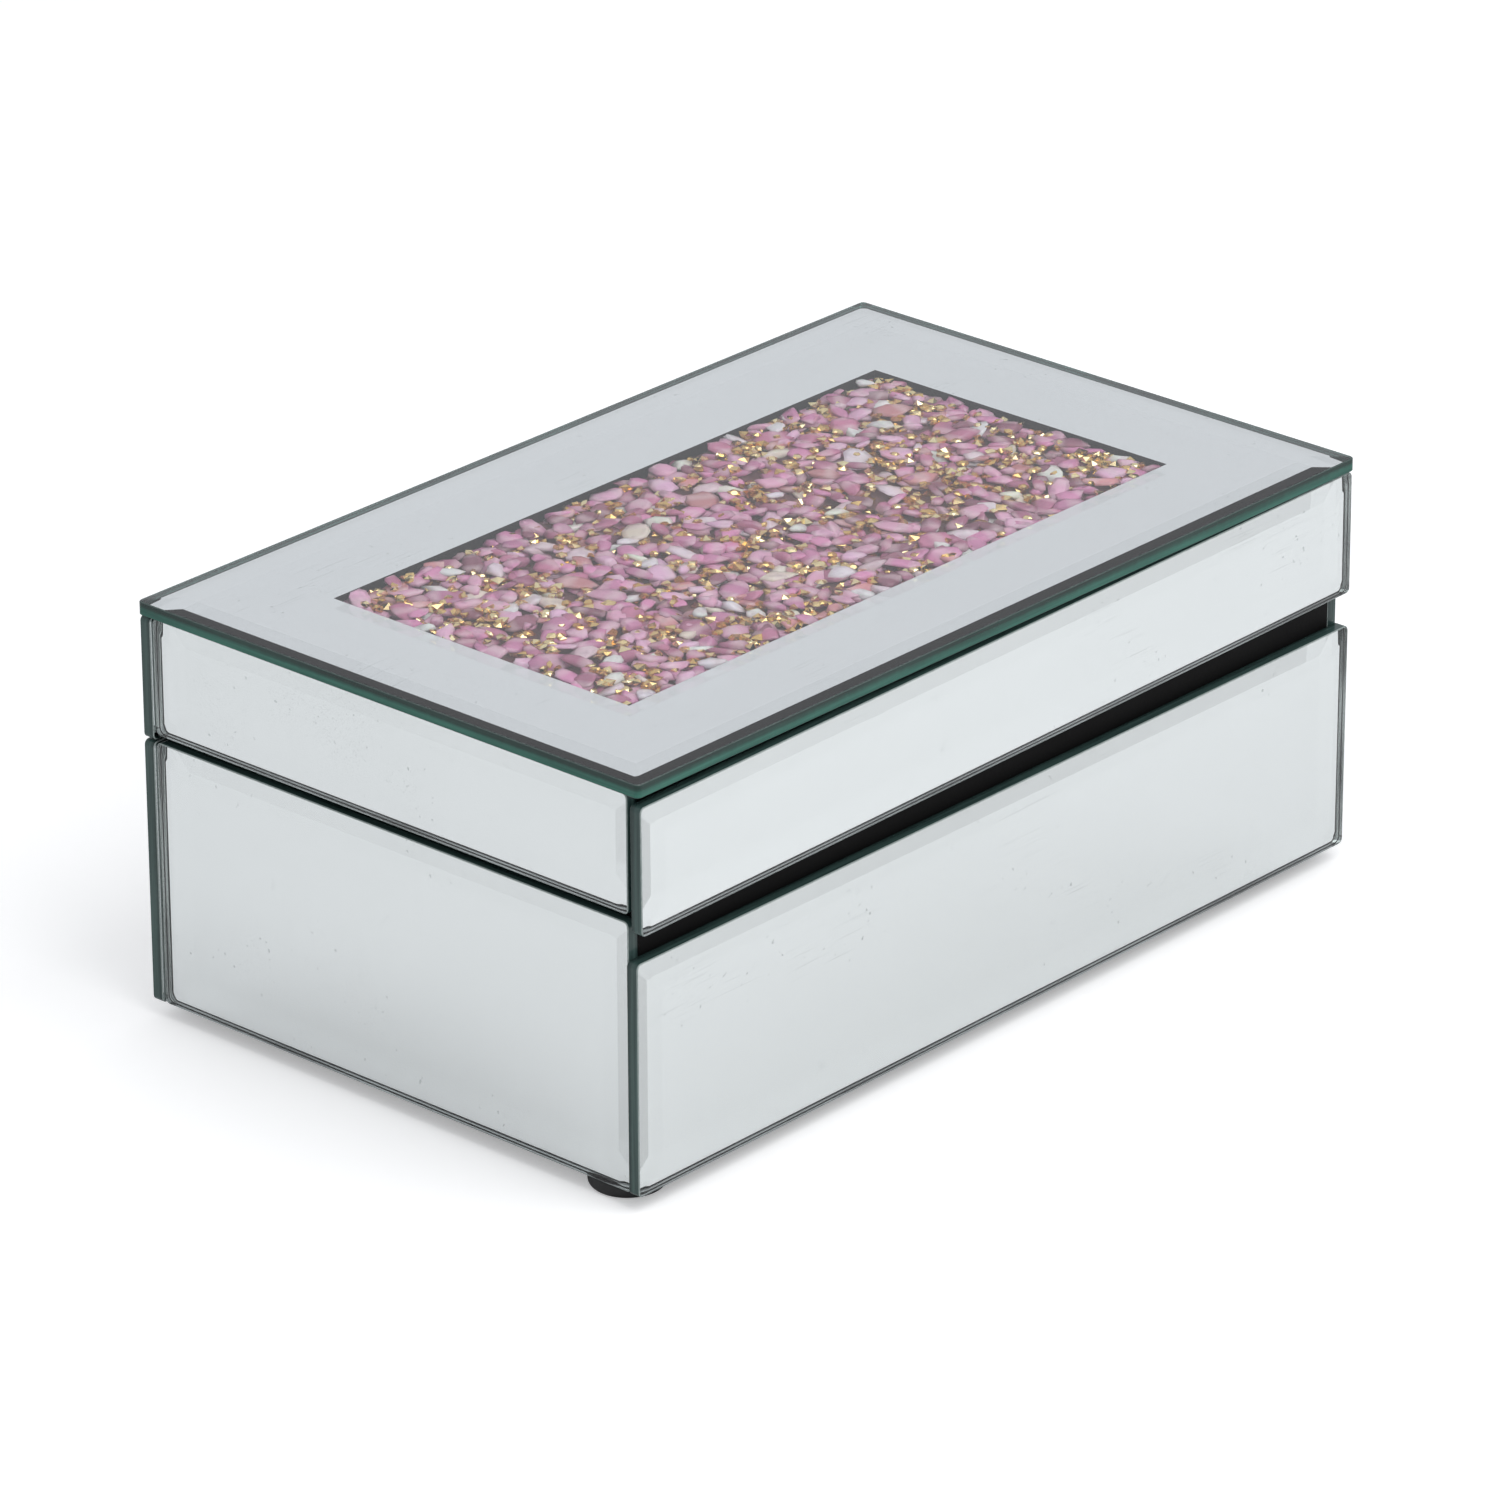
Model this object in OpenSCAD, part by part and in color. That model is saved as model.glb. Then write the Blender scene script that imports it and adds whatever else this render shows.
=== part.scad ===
// Vanity trinket box: a black board carcass clad in bevelled mirror glass, with a hinged lid.
// The lid's top plate has a clear window over a tray of stone chips and gold crystals.
// Frame: +X to the right, the front faces -Y, +Z up, origin under the middle, on the feet.

/* [Overall] */
// Width over the side glass
box_w = 250; // [180:1:360]
// Depth over the front and back glass, without the hinge barrels
box_d = 154; // [120:1:240]
// Height of the base body, without its feet
base_h = 66; // [40:1:120]
// Height of the lid body, without its top plate
lid_h = 30.3; // [27:0.1:60]
// Height of the gap between the closed lid and the base
closing_gap = 0.5; // [0.3:0.1:1.5]

/* [Mirror glass] */
// Thickness of the side, front and back glass
glass_t = 4; // [3:0.5:6]
// Width of the bevel round each piece of glass
bevel_w = 7; // [3:0.5:10]
// Thickness that the bevel takes off the glass at its edge
bevel_drop = 0.7; // [0.3:0.1:1.5]
// Height of the finger gap under the front lid glass, cut from the front base glass
finger_gap = 9; // [7:0.5:14]
// Height of the board left showing under the side lid glass
side_lift = 1.3; // [0:0.1:3]

/* [Front lid glass] */
// Distance that the front lid glass hangs below the lid body
front_hang = 1.8; // [0:0.1:3]
// Rise of the front lid glass at its right end, and its fall at the left, as it was glued
front_rise = 0.9; // [0:0.1:1.5]
// Thickness of the glue bed at the left end of the front lid glass
glue_left = 1.2; // [0.4:0.1:2]
// Thickness of the glue bed at the right end of the front lid glass
glue_right = 0.3; // [0.2:0.1:2]
// Distance from the edges of the front lid glass to its glue bed
glue_inset = 5; // [2:0.5:8]

/* [Top plate] */
// Thickness of the top plate
plate_t = 4; // [4:0.5:8]
// Width of the bevel round the top plate
plate_bevel = 7.5; // [3:0.5:12]
// Thickness that the bevel takes off the top plate at its edge
plate_drop = 0.6; // [0.3:0.1:2]
// Width of the mirrored border round the clear window
window_margin = 31.5; // [24:0.5:40]

/* [Boards and lining] */
// Thickness of the wall boards
board_t = 9; // [8:0.5:12]
// Thickness of the floor board
floor_t = 5; // [3:0.5:8]
// Thickness of the velvet-covered card that lines the walls and the lid
lining_t = 1.5; // [1:0.5:2.5]
// Height of wall left bare above the base lining, and below the lid lining
lining_reveal = 2; // [1:0.5:4]
// Thickness of the velvet pad on the floor
pad_t = 3; // [2:0.5:6]
// Clearance between the pad and the lining round it
pad_clear = 0.4; // [0.2:0.1:1]

/* [Chip tray] */
// Depth of the tray under the window
tray_depth = 10; // [8:0.5:12]
// Thickness of the tray's floor
tray_floor_t = 3; // [2:0.5:4]
// Depth of the stone chips
chips_h = 6; // [3:0.5:6.5]
// Depth of the layer of gold crystals on the chips
crystals_h = 1.5; // [1:0.5:2]
// Clearance between the chips and the tray's sides
chips_clear = 0.2; // [0.1:0.1:1]

/* [Feet and rests] */
// Height of a foot
foot_h = 4; // [3:0.5:10]
// Diameter of a foot
foot_d = 18; // [14:0.5:28]
// Size of the chamfer round the bottom of a foot
foot_chamfer = 1; // [0.5:0.5:2]
// Distance from the box's faces to the middle of the three hidden feet
foot_inset = 15; // [14:0.5:30]
// Distance from the box's left face to the side of the front left foot
near_foot_left = 1.2; // [0:0.2:15]
// Distance from the box's front face to the front of the front left foot
near_foot_front = 4.6; // [0:0.2:15]
// Diameter of the soft dots that the closed lid rests on
dot_d = 6; // [4:0.5:7]
// Clearance between the dots and the closed lid
dot_clear = 0.05; // [0.02:0.01:0.1]

/* [Hinges] */
// Length of a hinge along its pin
hinge_w = 25; // [20:1:40]
// Distance from the box's end faces to the middle of a hinge
hinge_inset = 50; // [30:1:65]
// Thickness of a hinge leaf
leaf_t = 0.8; // [0.6:0.1:1.2]
// Distance from the inner face of the back board to the end of a leaf
leaf_setback = 1.5; // [1:0.5:2.5]
// Radius of the hinge barrel
barrel_r = 1.9; // [1.7:0.1:2.5]
// Radius of the hinge pin
pin_r = 0.9; // [0.7:0.1:1.1]
// Running clearance, by radius, between the pin and the lid's knuckles
pin_clear = 0.06; // [0.02:0.01:0.1]
// Angle of the open lid at which its back glass would meet the base's, past its working range
stop_angle = 117; // [110:1:150]
// Clearance along the pin between two knuckles
knuckle_clear = 0.2; // [0.1:0.05:0.4]
// Clearance round the barrel and the leaves in the glass and the boards
notch_clear = 0.3; // [0.2:0.05:0.6]
// Radius of a screw's shank
screw_r = 0.8; // [0.6:0.1:1]
// Radius of a screw's head
screw_head_r = 1.5; // [1.3:0.1:1.8]
// Length of a screw
screw_l = 7; // [5:0.5:10]
// Distance between the two screws of a leaf
screw_pitch = 14; // [10:0.5:18]

/* [Hidden] */

// Colours
black_board = [0.05, 0.05, 0.05];
mirror_silver = [0.80, 0.83, 0.85];
velvet = [0.10, 0.10, 0.11];
foot_black = [0.04, 0.04, 0.04];
hinge_metal = [0.72, 0.70, 0.66];
clear_glue = [0.85, 0.85, 0.80];
chip_mauve = [0.72, 0.50, 0.66];
crystal_gold = [0.90, 0.72, 0.30];

// Levels
part_z = foot_h + base_h;
lid_z = part_z + closing_gap;
plate_z = lid_z + lid_h;
tray_z = plate_z - tray_depth;
ceiling_z = tray_z - tray_floor_t - lining_t;
pad_z = foot_h + floor_t;

// Carcass and cavity, both centred
carcass_w = box_w - 2 * glass_t;
carcass_d = box_d - 2 * glass_t;
cavity_w = carcass_w - 2 * board_t;
cavity_d = carcass_d - 2 * board_t;
lined_w = cavity_w - 2 * lining_t;
lined_d = cavity_d - 2 * lining_t;
window_w = box_w - 2 * window_margin;
window_d = box_d - 2 * window_margin;
rail_w = (cavity_w - window_w) / 2;
rail_d = (cavity_d - window_d) / 2;

// Front lid glass: its corners stay under the plate and between the box's ends as it leans
front_top_gap = front_rise + 0.2;
front_end_gap = 0.3;
front_glass_w = box_w - 2 * front_end_gap;
front_glass_h = lid_h + front_hang - front_top_gap;
front_glass_z = plate_z - front_top_gap - front_glass_h / 2;
front_tilt = atan(front_rise / (front_glass_w / 2));
front_yaw = atan((glue_left - glue_right) / front_glass_w);

// Hinge pin and leaves, in the middle of the gap between lid and base. The pin is let in from
// the back face just so far that the edges of the back glass meet at the stop angle.
pin_inset = closing_gap / 2 * (1 + cos(stop_angle)) / sin(stop_angle);
pin_y = box_d / 2 - pin_inset;
pin_z = part_z + closing_gap / 2;
leaf_apart = 0.05;
leaf_reach = board_t - leaf_setback;
leaf_end_y = carcass_d / 2 - leaf_reach;
screw_y = carcass_d / 2 - leaf_reach / 2;
knuckles = 5;
knuckle_l = (hinge_w - (knuckles - 1) * knuckle_clear) / knuckles;
hinge_x = box_w / 2 - hinge_inset;
screw_head_l = leaf_t - 0.2;
cut = 1;

// The origin is in the middle of the whole, with the glass and barrels that stand proud
front_proud = glue_left;
back_proud = barrel_r - pin_inset;
frame_y = (front_proud - back_proud) / 2;

$fn = 96;

// ---- shared shapes ----

// Moves a piece from the box's own middle into the frame
module in_frame() {
    translate([0, frame_y, 0]) children();
}

// Plate of glass, back at z = 0, whose four front edges are bevelled: two profiles crossed
module bevelled_glass(w, h, t, bevel, drop) {
    intersection() {
        translate([0, h / 2, 0]) rotate([90, 0, 0]) linear_extrude(h) bevel_profile(w, t, bevel, drop);
        translate([-w / 2, 0, 0]) rotate([90, 0, 90]) linear_extrude(w) bevel_profile(h, t, bevel, drop);
    }
}

// Section through a bevelled plate of the given width
module bevel_profile(w, t, bevel, drop) {
    polygon([
        [-w / 2, 0], [w / 2, 0], [w / 2, t - drop],
        [w / 2 - bevel, t], [bevel - w / 2, t], [-w / 2, t - drop]
    ]);
}

// Mirror glass standing on its lower edge at height z, facing out at a turn about Z
module wall_glass(w, h, z, out, turn) {
    rotate([0, 0, turn]) translate([0, -out, z + h / 2]) rotate([90, 0, 0])
        bevelled_glass(w, h, glass_t, bevel_w, bevel_drop);
}

// Board across the front or the back of the carcass
module cross_board(side, z, h) {
    translate([-carcass_w / 2, side * (carcass_d - board_t) / 2 - board_t / 2, z])
        cube([carcass_w, board_t, h]);
}

// Board at the left or right end, between the cross boards
module end_board(side, z, h) {
    translate([side * (carcass_w - board_t) / 2 - board_t / 2, -cavity_d / 2, z])
        cube([board_t, cavity_d, h]);
}

// Lining card on the inside of a cross board
module cross_lining(side, z, h) {
    translate([-cavity_w / 2, side * (cavity_d - lining_t) / 2 - lining_t / 2, z])
        cube([cavity_w, lining_t, h]);
}

// Lining card on the inside of an end board
module end_lining(side, z, h) {
    translate([side * (cavity_w - lining_t) / 2 - lining_t / 2, -lined_d / 2, z])
        cube([lining_t, lined_d, h]);
}

// Round foot with a chamfered bottom edge, glued at distances from the faces of a corner
module foot(side_x, side_y, inset_x = foot_inset, inset_y = foot_inset) {
    translate([side_x * (box_w / 2 - inset_x), side_y * (box_d / 2 - inset_y), 0])
        rotate_extrude() polygon([
            [0, 0], [foot_d / 2 - foot_chamfer, 0], [foot_d / 2, foot_chamfer],
            [foot_d / 2, foot_h], [0, foot_h]
        ]);
}

// ---- hinge shapes, each drawn about the hinge's middle, with the pin along X ----

// Places a hinge shape at its pin, on the left (-1) or the right (1)
module at_hinge(side) {
    translate([side * hinge_x, pin_y, pin_z]) children();
}

// Cylinder along X from one end to another
module bar(r, x0, x1) {
    translate([x0, 0, 0]) rotate([0, 90, 0]) cylinder(r = r, h = x1 - x0);
}

// Start of a knuckle along the pin, counted from 0 at the left
function knuckle_x(i) = -hinge_w / 2 + i * (knuckle_l + knuckle_clear);

// Leaf with its knuckles. up is 1 for the lid's leaf and -1 for the base's; first is its first
// knuckle, and it has every second one. The leaf is cut clear of the other leaf's knuckles.
module hinge_leaf(up, first, bore_r) {
    reach = pin_y - leaf_end_y;
    difference() {
        union() {
            translate([-hinge_w / 2, -reach, up > 0 ? leaf_apart : -leaf_apart - leaf_t])
                cube([hinge_w, reach, leaf_t]);
            for (i = [first:2:knuckles - 1]) bar(barrel_r, knuckle_x(i), knuckle_x(i) + knuckle_l);
        }
        for (i = [1 - first:2:knuckles - 1])
            bar(
                barrel_r + notch_clear,
                i == 0 ? -hinge_w / 2 - cut : knuckle_x(i) - knuckle_clear,
                i == knuckles - 1 ? hinge_w / 2 + cut : knuckle_x(i) + knuckle_l + knuckle_clear
            );
        bar(bore_r, -hinge_w / 2 - cut, hinge_w / 2 + cut);
        for (side = [-1, 1])
            translate([side * screw_pitch / 2, screw_y - pin_y, up * leaf_apart])
                rotate([up > 0 ? 0 : 180, 0, 0]) countersink();
    }
}

// Hole for a screw, its head at z = 0 and its shank up +Z
module countersink() {
    translate([0, 0, -cut]) cylinder(r = screw_head_r, h = cut);
    cylinder(r1 = screw_head_r, r2 = screw_r, h = screw_head_l);
    cylinder(r = screw_r, h = leaf_t + cut);
}

// Countersunk screw, its head at z = 0 and its point up +Z
module screw() {
    rotate_extrude() polygon([
        [0, 0], [screw_head_r, 0], [screw_r, screw_head_l],
        [screw_r, screw_l - 2 * screw_r], [0, screw_l]
    ]);
}

// The four screws that hold two leaves, up into the lid (1) or down into the base (-1)
module hinge_screws(up) {
    for (hinge = [-1, 1], side = [-1, 1])
        at_hinge(hinge) translate([side * screw_pitch / 2, screw_y - pin_y, up * leaf_apart])
            rotate([up > 0 ? 0 : 180, 0, 0]) screw();
}

// Holes that the screws are driven into, in the board of the lid (1) or of the base (-1)
module screw_holes(up) {
    for (hinge = [-1, 1], side = [-1, 1])
        at_hinge(hinge) translate([side * screw_pitch / 2, screw_y - pin_y, up * leaf_apart])
            rotate([up > 0 ? 0 : 180, 0, 0]) cylinder(r = screw_r, h = screw_l + notch_clear);
}

// Pockets let into the edges of the back boards for the leaves
module leaf_pockets() {
    deep = leaf_apart + leaf_t;
    for (hinge = [-1, 1])
        at_hinge(hinge)
            translate([-hinge_w / 2 - notch_clear, leaf_end_y - pin_y - notch_clear, -deep])
                cube([hinge_w + 2 * notch_clear, leaf_reach + glass_t + cut, 2 * deep]);
}

// Notches in the edge of the back glass for the barrels
module barrel_notches() {
    r = barrel_r + notch_clear;
    for (hinge = [-1, 1])
        at_hinge(hinge)
            translate([-hinge_w / 2 - notch_clear, -glass_t - cut, -r])
                cube([hinge_w + 2 * notch_clear, glass_t + 2 * cut, 2 * r]);
}

// ---- base body ----

module base_board_front() {
    color(black_board) in_frame() cross_board(-1, foot_h, base_h);
}

module base_board_back() {
    color(black_board) in_frame() difference() {
        cross_board(1, foot_h, base_h);
        leaf_pockets();
        screw_holes(-1);
    }
}

module base_board_left() {
    color(black_board) in_frame() end_board(-1, foot_h, base_h);
}

module base_board_right() {
    color(black_board) in_frame() end_board(1, foot_h, base_h);
}

module base_floor() {
    color(black_board) in_frame()
        translate([-cavity_w / 2, -cavity_d / 2, foot_h]) cube([cavity_w, cavity_d, floor_t]);
}

module base_glass_front() {
    color(mirror_silver) in_frame() wall_glass(box_w, base_h - finger_gap, foot_h, carcass_d / 2, 0);
}

module base_glass_back() {
    color(mirror_silver) in_frame() difference() {
        wall_glass(box_w, base_h, foot_h, carcass_d / 2, 180);
        barrel_notches();
    }
}

module base_glass_left() {
    color(mirror_silver) in_frame() wall_glass(carcass_d, base_h, foot_h, carcass_w / 2, -90);
}

module base_glass_right() {
    color(mirror_silver) in_frame() wall_glass(carcass_d, base_h, foot_h, carcass_w / 2, 90);
}

module base_lining_front() {
    color(velvet) in_frame() cross_lining(-1, pad_z, base_h - floor_t - lining_reveal);
}

module base_lining_back() {
    color(velvet) in_frame() cross_lining(1, pad_z, base_h - floor_t - lining_reveal);
}

module base_lining_left() {
    color(velvet) in_frame() end_lining(-1, pad_z, base_h - floor_t - lining_reveal);
}

module base_lining_right() {
    color(velvet) in_frame() end_lining(1, pad_z, base_h - floor_t - lining_reveal);
}

module base_pad() {
    color(velvet) in_frame()
        translate([pad_clear - lined_w / 2, pad_clear - lined_d / 2, pad_z])
            cube([lined_w - 2 * pad_clear, lined_d - 2 * pad_clear, pad_t]);
}

module foot_front_left() {
    color(foot_black) in_frame()
        foot(-1, -1, near_foot_left + foot_d / 2, near_foot_front + foot_d / 2);
}

module foot_front_right() {
    color(foot_black) in_frame() foot(1, -1);
}

module foot_back_left() {
    color(foot_black) in_frame() foot(-1, 1);
}

module foot_back_right() {
    color(foot_black) in_frame() foot(1, 1);
}

module lid_rest_dots() {
    color(clear_glue) in_frame() for (side = [-1, 1])
        translate([side * (carcass_w - board_t) / 2, (board_t - carcass_d) / 2, part_z])
            cylinder(d = dot_d, h = closing_gap - dot_clear);
}

module hinge_base_leaf_left() {
    color(hinge_metal) in_frame() at_hinge(-1) hinge_leaf(-1, 0, pin_r);
}

module hinge_base_leaf_right() {
    color(hinge_metal) in_frame() at_hinge(1) hinge_leaf(-1, 0, pin_r);
}

module hinge_pin_left() {
    color(hinge_metal) in_frame() at_hinge(-1) bar(pin_r, -hinge_w / 2, hinge_w / 2);
}

module hinge_pin_right() {
    color(hinge_metal) in_frame() at_hinge(1) bar(pin_r, -hinge_w / 2, hinge_w / 2);
}

module hinge_base_screws() {
    color(hinge_metal) in_frame() hinge_screws(-1);
}

// ---- lid body ----

module lid_board_front() {
    color(black_board) in_frame() cross_board(-1, lid_z, lid_h);
}

module lid_board_back() {
    color(black_board) in_frame() difference() {
        cross_board(1, lid_z, lid_h);
        leaf_pockets();
        screw_holes(1);
    }
}

module lid_board_left() {
    color(black_board) in_frame() end_board(-1, lid_z, lid_h);
}

module lid_board_right() {
    color(black_board) in_frame() end_board(1, lid_z, lid_h);
}

// The deck under the plate's mirrored border is four rails, and their inner faces are the
// tray's sides.
module lid_deck_front() {
    color(black_board) in_frame()
        translate([-cavity_w / 2, -cavity_d / 2, tray_z]) cube([cavity_w, rail_d, tray_depth]);
}

module lid_deck_back() {
    color(black_board) in_frame()
        translate([-cavity_w / 2, cavity_d / 2 - rail_d, tray_z]) cube([cavity_w, rail_d, tray_depth]);
}

module lid_deck_left() {
    color(black_board) in_frame()
        translate([-cavity_w / 2, -window_d / 2, tray_z]) cube([rail_w, window_d, tray_depth]);
}

module lid_deck_right() {
    color(black_board) in_frame()
        translate([cavity_w / 2 - rail_w, -window_d / 2, tray_z]) cube([rail_w, window_d, tray_depth]);
}

module lid_tray_floor() {
    color(black_board) in_frame()
        translate([-cavity_w / 2, -cavity_d / 2, tray_z - tray_floor_t])
            cube([cavity_w, cavity_d, tray_floor_t]);
}

module stone_chips() {
    color(chip_mauve) in_frame()
        translate([chips_clear - window_w / 2, chips_clear - window_d / 2, tray_z])
            cube([window_w - 2 * chips_clear, window_d - 2 * chips_clear, chips_h]);
}

module gold_crystals() {
    color(crystal_gold) in_frame()
        translate([chips_clear - window_w / 2, chips_clear - window_d / 2, tray_z + chips_h])
            cube([window_w - 2 * chips_clear, window_d - 2 * chips_clear, crystals_h]);
}

module lid_plate() {
    color(mirror_silver, 0.6) in_frame()
        translate([0, 0, plate_z]) bevelled_glass(box_w, box_d, plate_t, plate_bevel, plate_drop);
}

// The front lid glass leans a little in its own plane and stands prouder at its left end, on a
// glue bed that is thicker there.
module lid_glass_front() {
    color(mirror_silver) in_frame()
        translate([0, -carcass_d / 2 - (glue_left + glue_right) / 2, front_glass_z])
            rotate([0, -front_tilt, front_yaw]) rotate([90, 0, 0])
                bevelled_glass(front_glass_w, front_glass_h, glass_t, bevel_w, bevel_drop);
}

module lid_glass_back() {
    color(mirror_silver) in_frame() difference() {
        wall_glass(box_w, lid_h, lid_z, carcass_d / 2, 180);
        barrel_notches();
    }
}

module lid_glass_left() {
    color(mirror_silver) in_frame()
        wall_glass(carcass_d, lid_h - side_lift, lid_z + side_lift, carcass_w / 2, -90);
}

module lid_glass_right() {
    color(mirror_silver) in_frame()
        wall_glass(carcass_d, lid_h - side_lift, lid_z + side_lift, carcass_w / 2, 90);
}

module lid_glass_glue() {
    end = front_glass_w / 2 - glue_inset;
    slope = (glue_left - glue_right) / front_glass_w;
    middle = (glue_left + glue_right) / 2;
    color(clear_glue) in_frame()
        translate([0, -carcass_d / 2, lid_z + glue_inset]) linear_extrude(lid_h - 2 * glue_inset)
            polygon([[-end, 0], [-end, -middle - slope * end], [end, slope * end - middle], [end, 0]]);
}

module lid_lining_front() {
    color(velvet) in_frame() cross_lining(-1, lid_z + lining_reveal, ceiling_z - lid_z - lining_reveal);
}

module lid_lining_back() {
    color(velvet) in_frame() cross_lining(1, lid_z + lining_reveal, ceiling_z - lid_z - lining_reveal);
}

module lid_lining_left() {
    color(velvet) in_frame() end_lining(-1, lid_z + lining_reveal, ceiling_z - lid_z - lining_reveal);
}

module lid_lining_right() {
    color(velvet) in_frame() end_lining(1, lid_z + lining_reveal, ceiling_z - lid_z - lining_reveal);
}

module lid_lining_top() {
    color(velvet) in_frame()
        translate([-cavity_w / 2, -cavity_d / 2, ceiling_z]) cube([cavity_w, cavity_d, lining_t]);
}

module hinge_lid_leaf_left() {
    color(hinge_metal) in_frame() at_hinge(-1) hinge_leaf(1, 1, pin_r + pin_clear);
}

module hinge_lid_leaf_right() {
    color(hinge_metal) in_frame() at_hinge(1) hinge_leaf(1, 1, pin_r + pin_clear);
}

module hinge_lid_screws() {
    color(hinge_metal) in_frame() hinge_screws(1);
}

base_board_front();
base_board_back();
base_board_left();
base_board_right();
base_floor();
base_glass_front();
base_glass_back();
base_glass_left();
base_glass_right();
base_lining_front();
base_lining_back();
base_lining_left();
base_lining_right();
base_pad();
foot_front_left();
foot_front_right();
foot_back_left();
foot_back_right();
lid_rest_dots();
hinge_base_leaf_left();
hinge_base_leaf_right();
hinge_pin_left();
hinge_pin_right();
hinge_base_screws();
lid_board_front();
lid_board_back();
lid_board_left();
lid_board_right();
lid_deck_front();
lid_deck_back();
lid_deck_left();
lid_deck_right();
lid_tray_floor();
stone_chips();
gold_crystals();
lid_plate();
lid_glass_front();
lid_glass_back();
lid_glass_left();
lid_glass_right();
lid_glass_glue();
lid_lining_front();
lid_lining_back();
lid_lining_left();
lid_lining_right();
lid_lining_top();
hinge_lid_leaf_left();
hinge_lid_leaf_right();
hinge_lid_screws();
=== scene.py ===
import math
from collections import namedtuple

import bmesh
import bpy
import numpy as np
from mathutils import Matrix, Vector


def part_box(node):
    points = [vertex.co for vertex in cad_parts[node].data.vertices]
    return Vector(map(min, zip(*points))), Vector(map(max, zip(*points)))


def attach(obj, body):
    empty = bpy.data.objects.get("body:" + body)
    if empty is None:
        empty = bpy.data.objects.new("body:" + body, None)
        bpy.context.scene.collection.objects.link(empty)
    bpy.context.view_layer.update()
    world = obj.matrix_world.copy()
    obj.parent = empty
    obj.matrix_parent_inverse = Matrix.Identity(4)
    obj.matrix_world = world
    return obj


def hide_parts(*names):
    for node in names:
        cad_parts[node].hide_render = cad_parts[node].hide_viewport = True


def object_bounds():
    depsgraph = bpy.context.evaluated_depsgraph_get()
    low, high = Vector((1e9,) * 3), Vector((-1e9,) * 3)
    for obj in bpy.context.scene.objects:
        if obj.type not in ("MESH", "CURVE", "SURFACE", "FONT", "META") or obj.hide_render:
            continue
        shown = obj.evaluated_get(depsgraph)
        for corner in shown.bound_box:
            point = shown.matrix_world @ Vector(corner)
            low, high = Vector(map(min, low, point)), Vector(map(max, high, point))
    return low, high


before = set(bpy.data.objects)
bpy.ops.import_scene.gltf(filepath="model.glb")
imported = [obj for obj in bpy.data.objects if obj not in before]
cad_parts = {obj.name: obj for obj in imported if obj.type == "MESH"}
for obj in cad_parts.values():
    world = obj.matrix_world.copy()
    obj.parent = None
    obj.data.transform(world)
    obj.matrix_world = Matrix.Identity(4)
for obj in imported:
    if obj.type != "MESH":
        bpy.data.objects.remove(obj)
cad_box = [list(corner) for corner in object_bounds()]
mm = 0.001

# ---- Camera ----
# A long lens looks down on the box from its front left corner, so that the long front face and
# the left end both show, with the lid closed.
camera_place = (-1.3543, -1.2136, 0.8635)
camera_azimuth, camera_elevation, camera_roll = -48.08, 24.16, -0.22
lens = 204.6

camera = bpy.data.objects.new("camera", bpy.data.cameras.new("camera"))
camera.data.lens, camera.data.sensor_width = lens, 36.0
camera.data.clip_end = 20.0
camera.rotation_mode = "QUATERNION"
turn, rise = math.radians(camera_azimuth), math.radians(camera_elevation)
looking = Vector(
    (-math.sin(turn) * math.cos(rise), math.cos(turn) * math.cos(rise), -math.sin(rise))
)
camera.location = camera_place
camera.rotation_quaternion = looking.to_track_quat("-Z", "Y") @ Matrix.Rotation(
    math.radians(camera_roll), 4, "Z"
).to_quaternion()
bpy.context.scene.collection.objects.link(camera)
bpy.context.scene.camera = camera
bpy.context.scene.view_settings.view_transform = "Standard"


# ---- Studio ----
# A white paper floor, lit by one large soft box over the front of the box, in a pale grey room.
# The mirrors show the floor and the room, so both are kept plain. The paper glows a little.
def add(tree, kind, inputs=(), **settings):
    """Adds a node of a kind and sets its properties. Each pair in inputs is an input's name or
    number with a value, or with an output socket that is linked to it."""
    made = tree.nodes.new(kind)
    for key, value in settings.items():
        setattr(made, key, value)
    for key, value in dict(inputs).items():
        if isinstance(value, bpy.types.NodeSocket):
            tree.links.new(value, made.inputs[key])
        else:
            made.inputs[key].default_value = value
    return made


def blend(tree, share, low, high):
    """A colour that goes from low to high as a share goes from 0 to 1."""
    made = add(tree, "ShaderNodeMix", {0: share, "A": low, "B": high}, data_type="RGBA")
    return made.outputs["Result"]


def noise(tree, where, scale, detail, **inputs):
    """The value of a noise texture at a place."""
    inputs = {"Vector": where, "Scale": scale, "Detail": detail, **inputs}
    return add(tree, "ShaderNodeTexNoise", inputs).outputs["Fac"]


def remap(tree, value, span=(0.0, 1.0), to=(0.0, 1.0), smooth=False):
    """A value carried from one span to another, in a straight line or in a smooth step, and held
    at the ends."""
    inputs = {"Value": value, 1: span[0], 2: span[1], 3: to[0], 4: to[1]}
    curve = "SMOOTHSTEP" if smooth else "LINEAR"
    return add(tree, "ShaderNodeMapRange", inputs, interpolation_type=curve).outputs[0]


def reckon(tree, operation, *values):
    """The result of a math node on its values."""
    return add(tree, "ShaderNodeMath", enumerate(values), operation=operation).outputs[0]


def stretched(tree, where, scale, rotation=(0.0, 0.0, 0.0)):
    """A place turned and scaled, which draws a pattern out along the axis of least scale."""
    inputs = {"Vector": where, "Rotation": rotation, "Scale": scale}
    return add(tree, "ShaderNodeMapping", inputs).outputs[0]


def bump(tree, height, strength, distance):
    """The normal of a surface that a height is pressed into."""
    inputs = {"Height": height, "Strength": strength, "Distance": distance}
    return add(tree, "ShaderNodeBump", inputs).outputs[0]


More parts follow.
